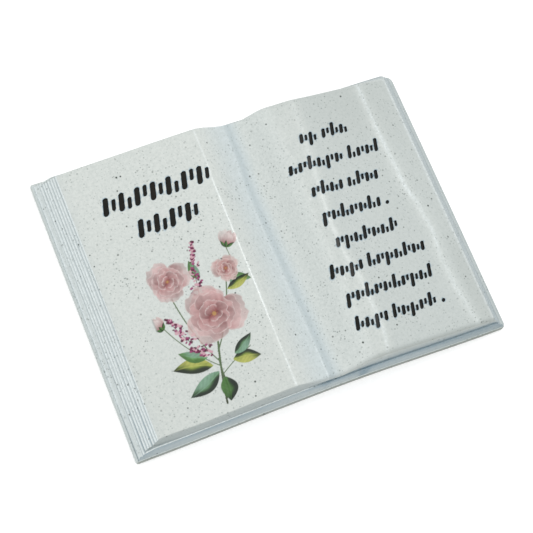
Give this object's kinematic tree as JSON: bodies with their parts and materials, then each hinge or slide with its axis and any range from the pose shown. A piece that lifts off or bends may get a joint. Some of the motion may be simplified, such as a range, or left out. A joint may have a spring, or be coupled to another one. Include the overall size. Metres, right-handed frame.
{
  "type": "open book memorial plaque",
  "caption": "Small graveside plaque cast as an open book, with leaf ridges along the fore-edges, a dipped gutter, softly folded pages and rows of recessed strokes.",
  "frame": {"origin": "centre of the flat underside's bounding box", "axes": "+X along the width of the open book from the left page to the right page, +Y up the pages to their head, +Z out of the pages"},
  "size_m": [0.18, 0.1324, 0.0243],
  "materials": {
    "speckled_resin": "glossy pale grey-green filled resin with fine dark speckles; strokes painted gloss black and a printed flower spray under clear varnish"
  },
  "bodies": {
    "root": {"book_casting": "speckled_resin"}
  },
  "joints": []
}
